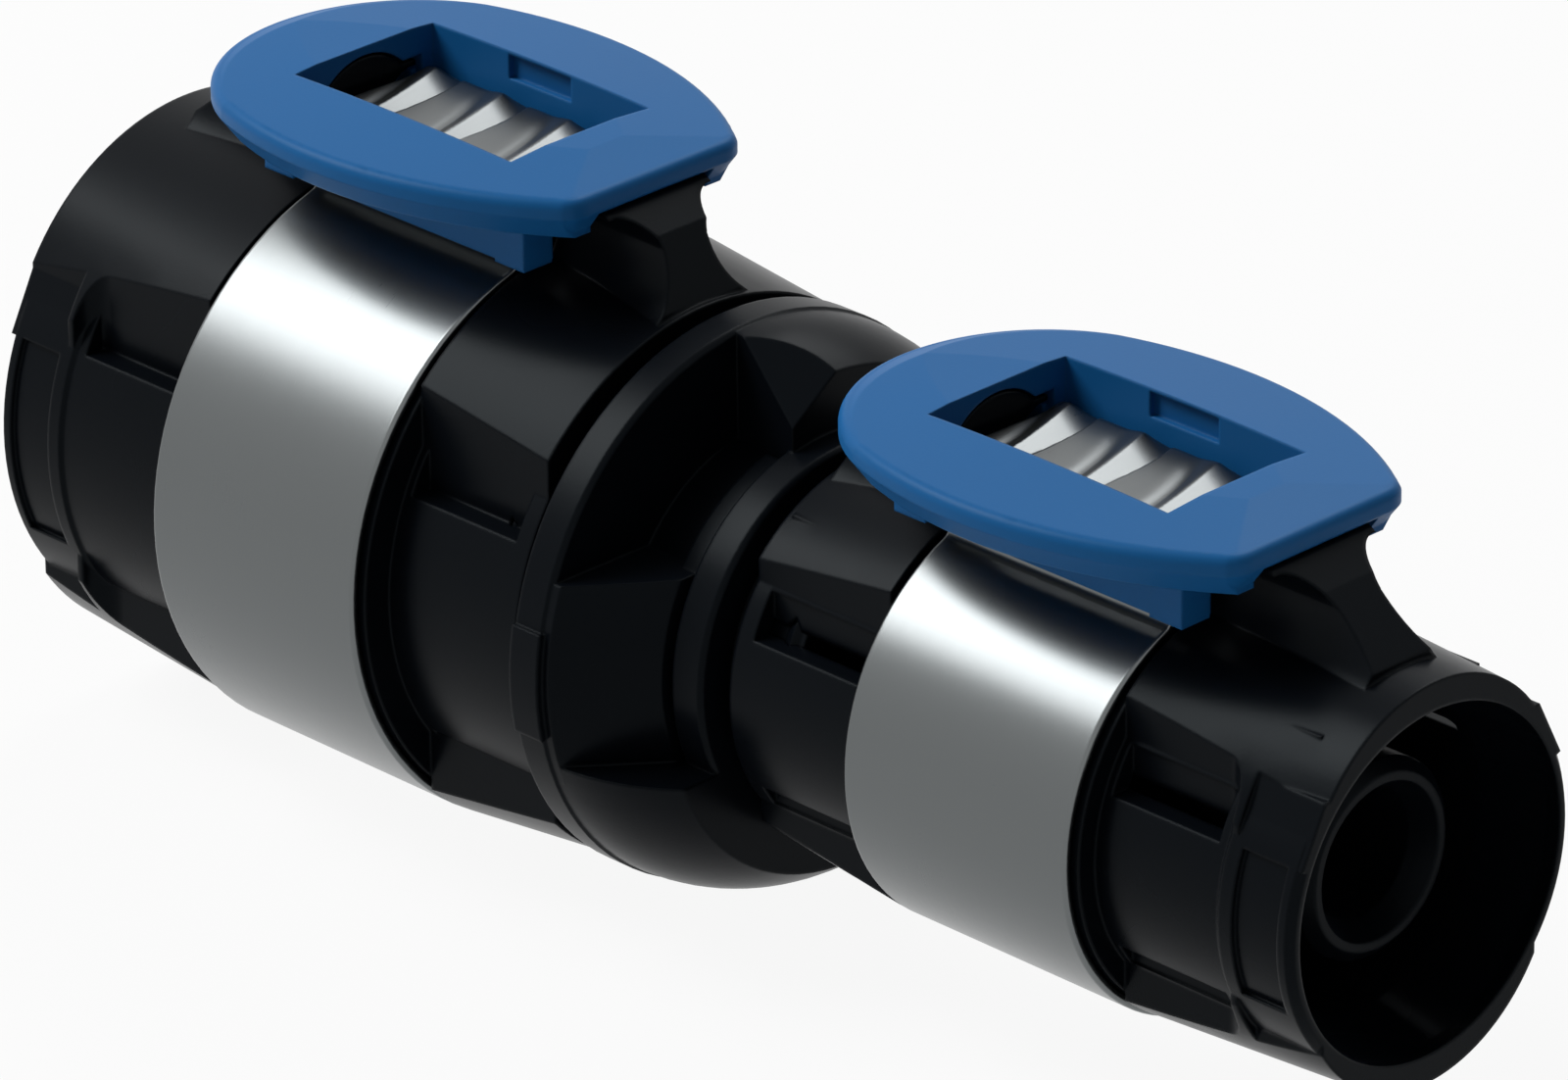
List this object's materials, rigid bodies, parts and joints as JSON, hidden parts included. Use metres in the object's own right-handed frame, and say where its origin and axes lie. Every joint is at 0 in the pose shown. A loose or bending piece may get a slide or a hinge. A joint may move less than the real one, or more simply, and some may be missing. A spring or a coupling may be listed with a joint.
{
  "type": "press pipe reducer",
  "caption": "Straight press reducer for multilayer pipe: moulded core, windowed sleeves, steel press bands with crimped ears, and blue press indicators.",
  "frame": {"origin": "on the pipe axis, where the end of the large pipe stops", "axes": "+X along the pipe axis from the large end to the small end, +Z to the press indicators"},
  "size_m": [0.0996, 0.036, 0.0425],
  "materials": {
    "core_plastic": "fine matte moulded black",
    "sleeve_plastic": "satin moulded black",
    "band_steel": "smooth satin stainless steel",
    "indicator_plastic": "satin moulded blue",
    "seal_rubber": "soft black rubber"
  },
  "bodies": {
    "root": {"core_body": "core_plastic", "large_sleeve": "sleeve_plastic", "large_band": "band_steel", "large_indicator": "indicator_plastic", "large_outer_seal": "seal_rubber", "large_inner_seal": "seal_rubber", "small_sleeve": "sleeve_plastic", "small_band": "band_steel", "small_indicator": "indicator_plastic", "small_outer_seal": "seal_rubber", "small_inner_seal": "seal_rubber"}
  },
  "joints": []
}
